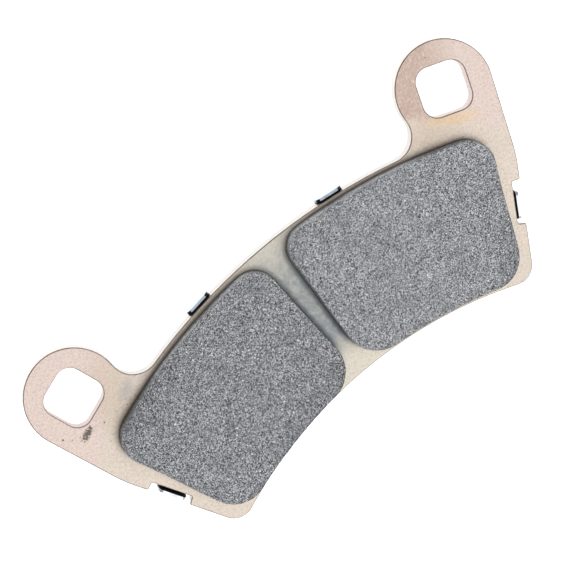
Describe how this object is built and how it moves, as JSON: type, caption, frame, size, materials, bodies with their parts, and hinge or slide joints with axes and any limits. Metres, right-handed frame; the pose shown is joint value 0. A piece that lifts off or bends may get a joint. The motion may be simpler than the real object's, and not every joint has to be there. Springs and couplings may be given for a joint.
{
  "type": "brake pad",
  "caption": "Sintered disc brake pad: plated steel backing plate with pierced guide ears, split granular friction face and clip-on shims along its edge.",
  "frame": {"origin": "under the middle of the pad's box, on the surface that the pad lies on", "axes": "+Z out of the friction face, +X along the pad, +Y away from the rotor's axis, towards the ears"},
  "size_m": [0.1314, 0.0576, 0.0106],
  "materials": {
    "plated_steel": "satin plating with a faint copper tint, tumbled",
    "sintered_metal": "granular sintered metal, pitted and speckled",
    "bond_copper": "dull sintered copper",
    "shim_rubber": "matt black coating",
    "shim_core_steel": "blackened sheet steel",
    "cover_steel": "bare rolled stainless sheet"
  },
  "bodies": {
    "pad": {"backing_plate": "plated_steel", "friction_block_left": "sintered_metal", "friction_block_right": "sintered_metal", "bond_layer_left": "bond_copper", "bond_layer_right": "bond_copper"},
    "damping_shim": {"damping_shim_inner_rubber": "shim_rubber", "damping_shim_core": "shim_core_steel", "damping_shim_outer_rubber": "shim_rubber"},
    "cover": {"cover_shim": "cover_steel"}
  },
  "joints": [
    {"name": "damping_shim_unclip", "type": "slide", "parent": "pad", "child": "damping_shim", "axis": [0, 0, -1], "range_m": [0, 0.006]},
    {"name": "cover_unclip", "type": "slide", "parent": "damping_shim", "child": "cover", "axis": [0, 0, -1], "range_m": [0, 0.0065]}
  ]
}
